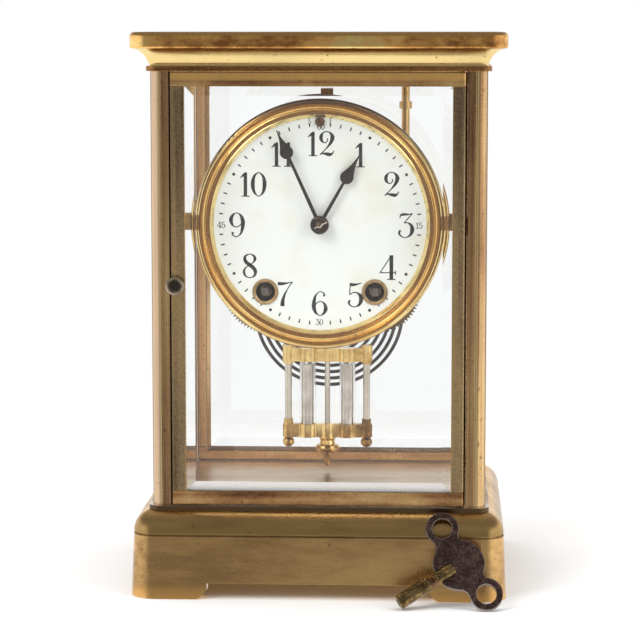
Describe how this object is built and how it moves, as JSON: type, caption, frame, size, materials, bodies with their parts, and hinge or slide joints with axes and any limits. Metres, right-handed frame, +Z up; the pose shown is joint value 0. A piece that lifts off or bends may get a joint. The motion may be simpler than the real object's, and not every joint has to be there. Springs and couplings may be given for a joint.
{
  "type": "mantel clock",
  "caption": "Brass four-glass mantel clock with glazed doors front and rear, white dial, spring-driven striking movement, twin-jar pendulum, coiled gong and winding key.",
  "frame": {"origin": "on the floor, below the middle of the box that holds the clock and the key leaning on it", "axes": "+Z up, -Y out of the dial towards the viewer, +X to the viewer's right"},
  "size_m": [0.174, 0.1682, 0.26],
  "materials": {
    "case": "aged polished brass with patina",
    "works": "clean brass",
    "steel": "dark steel",
    "blue_steel": "blued steel",
    "nickel": "nickel plated",
    "mercury": "bright metal column standing in for mercury",
    "glass": "clear bevelled glass",
    "enamel": "white enamel with black figures"
  },
  "bodies": {
    "case": {"base_plinth": "case", "floor_plate": "case", "corner_post_front_left": "case", "corner_post_front_right": "case", "corner_post_rear_left": "case", "corner_post_rear_right": "case", "top_plate": "case", "top_cornice": "case", "side_glass_left": "glass", "side_glass_right": "glass", "hinge_pins": "works", "movement_bracket_left": "works", "movement_bracket_right": "works", "gong_rod": "works", "gong_block": "works", "gong_coil": "steel", "dial": "enamel", "bezel": "case", "winding_eyelets": "works", "front_plate": "works", "back_plate": "works", "plate_pillars": "works", "pillar_nuts": "steel", "suspension_cock": "works"},
    "front_door": {"front_door_frame": "case", "front_glass": "glass"},
    "front_latch": {"front_latch": "case"},
    "rear_door": {"rear_door_frame": "case", "rear_glass": "glass"},
    "rear_latch": {"rear_latch": "case"},
    "minute_hand": {"minute_hand": "blue_steel", "cannon_pinion": "works", "hand_collet": "blue_steel"},
    "hour_hand": {"hour_hand": "blue_steel", "hour_wheel": "works"},
    "minute_wheel": {"minute_wheel": "works"},
    "regulator": {"regulator_arbor": "steel"},
    "time_winder": {"time_winding_arbor": "steel"},
    "strike_winder": {"strike_winding_arbor": "steel"},
    "time_barrel": {"time_barrel": "works"},
    "second_wheel": {"second_wheel": "works"},
    "center_wheel": {"center_wheel": "works"},
    "third_wheel": {"third_wheel": "works"},
    "escape_wheel": {"escape_wheel": "works"},
    "strike_barrel": {"strike_barrel": "works"},
    "strike_second_wheel": {"strike_second_wheel": "works"},
    "strike_pin_wheel": {"strike_pin_wheel": "works"},
    "strike_fly": {"strike_fly": "works"},
    "hammer": {"gong_hammer": "steel"},
    "pendulum": {"verge": "steel", "suspension_spring": "steel", "pendulum_rod": "nickel", "pendulum_upper_frame": "works", "pendulum_lower_frame": "works", "pendulum_jars": "glass", "pendulum_mercury": "mercury", "pendulum_side_rods": "nickel", "pendulum_finials": "works"},
    "key": {"key_wings": "steel", "key_pipe": "works"}
  },
  "joints": [
    {"name": "front_door_hinge", "type": "hinge", "parent": "case", "child": "front_door", "pos_m": [0.0655, -0.05227, 0.142], "axis": [0, 0, 1], "range_deg": [0, 100]},
    {"name": "front_latch_turn", "type": "hinge", "parent": "front_door", "child": "front_latch", "pos_m": [-0.0655, -0.05437, 0.1445], "axis": [0, 1, 0], "range_deg": [0, 90]},
    {"name": "rear_door_hinge", "type": "hinge", "parent": "case", "child": "rear_door", "pos_m": [-0.0655, 0.07203, 0.142], "axis": [0, 0, 1], "range_deg": [0, 100]},
    {"name": "rear_latch_turn", "type": "hinge", "parent": "rear_door", "child": "rear_latch", "pos_m": [0.0655, 0.07413, 0.1445], "axis": [0, -1, 0], "range_deg": [0, 90]},
    {"name": "minute_hand_turn", "type": "hinge", "parent": "case", "child": "minute_hand", "pos_m": [0, -0.03612, 0.1715], "axis": [0, 1, 0], "continuous": true},
    {"name": "hour_hand_turn", "type": "hinge", "parent": "case", "child": "hour_hand", "pos_m": [0, -0.03612, 0.1715], "axis": [0, 1, 0], "continuous": true},
    {"name": "minute_wheel_turn", "type": "hinge", "parent": "case", "child": "minute_wheel", "pos_m": [0.006, -0.02712, 0.18189], "axis": [0, 1, 0], "continuous": true},
    {"name": "regulator_turn", "type": "hinge", "parent": "case", "child": "regulator", "pos_m": [0, -0.03612, 0.2189], "axis": [0, 1, 0], "range_deg": [-180, 180]},
    {"name": "time_winding", "type": "hinge", "parent": "case", "child": "time_winder", "pos_m": [0.0254, -0.02412, 0.14], "axis": [0, 1, 0], "continuous": true},
    {"name": "strike_winding", "type": "hinge", "parent": "case", "child": "strike_winder", "pos_m": [-0.0254, -0.02412, 0.14], "axis": [0, 1, 0], "continuous": true},
    {"name": "escape_wheel_turn", "type": "hinge", "parent": "case", "child": "escape_wheel", "pos_m": [0, 0.00988, 0.1913], "axis": [0, 1, 0], "continuous": true},
    {"name": "third_wheel_turn", "type": "hinge", "parent": "case", "child": "third_wheel", "pos_m": [0.00936, 0.00988, 0.18266], "axis": [0, 1, 0], "continuous": true},
    {"name": "center_wheel_turn", "type": "hinge", "parent": "case", "child": "center_wheel", "pos_m": [0, 0.00988, 0.1715], "axis": [0, 1, 0], "continuous": true},
    {"name": "second_wheel_turn", "type": "hinge", "parent": "case", "child": "second_wheel", "pos_m": [0.01311, 0.00988, 0.16033], "axis": [0, 1, 0], "continuous": true},
    {"name": "time_barrel_turn", "type": "hinge", "parent": "case", "child": "time_barrel", "pos_m": [0.0254, 0.00988, 0.14], "axis": [0, 1, 0], "continuous": true},
    {"name": "strike_fly_turn", "type": "hinge", "parent": "case", "child": "strike_fly", "pos_m": [-0.01884, 0.00988, 0.19021], "axis": [0, 1, 0], "continuous": true},
    {"name": "strike_pin_wheel_turn", "type": "hinge", "parent": "case", "child": "strike_pin_wheel", "pos_m": [-0.02089, 0.00988, 0.17832], "axis": [0, 1, 0], "continuous": true},
    {"name": "strike_second_wheel_turn", "type": "hinge", "parent": "case", "child": "strike_second_wheel", "pos_m": [-0.0295, 0.00988, 0.1634], "axis": [0, 1, 0], "continuous": true},
    {"name": "strike_barrel_turn", "type": "hinge", "parent": "case", "child": "strike_barrel", "pos_m": [-0.0254, 0.00988, 0.14], "axis": [0, 1, 0], "continuous": true},
    {"name": "hammer_swing", "type": "hinge", "parent": "case", "child": "hammer", "pos_m": [-0.033, 0.01788, 0.1955], "axis": [0, 1, 0], "range_deg": [-1.2, 12], "stiffness_Nm_per_rad": 0.05},
    {"name": "pendulum_swing", "type": "hinge", "parent": "case", "child": "pendulum", "pos_m": [0, 0.03988, 0.2075], "axis": [0, 1, 0], "range_deg": [-3, 3]},
    {"name": "key_lift_off", "type": "slide", "parent": "case", "child": "key", "axis": [0, -1, 0], "range_m": [0, 0.05]}
  ],
  "couplings": [
    {"joint": "hour_hand_turn", "follows": "minute_hand_turn", "ratio": 0.083333},
    {"joint": "minute_wheel_turn", "follows": "minute_hand_turn", "ratio": -0.33333},
    {"joint": "third_wheel_turn", "follows": "escape_wheel_turn", "ratio": -0.083333},
    {"joint": "center_wheel_turn", "follows": "escape_wheel_turn", "ratio": 0.0069444},
    {"joint": "second_wheel_turn", "follows": "escape_wheel_turn", "ratio": -0.00096451},
    {"joint": "time_barrel_turn", "follows": "escape_wheel_turn", "ratio": 0.00012365},
    {"joint": "strike_pin_wheel_turn", "follows": "strike_fly_turn", "ratio": -0.10938},
    {"joint": "strike_second_wheel_turn", "follows": "strike_fly_turn", "ratio": 0.015191},
    {"joint": "strike_barrel_turn", "follows": "strike_fly_turn", "ratio": -0.0019476}
  ]
}
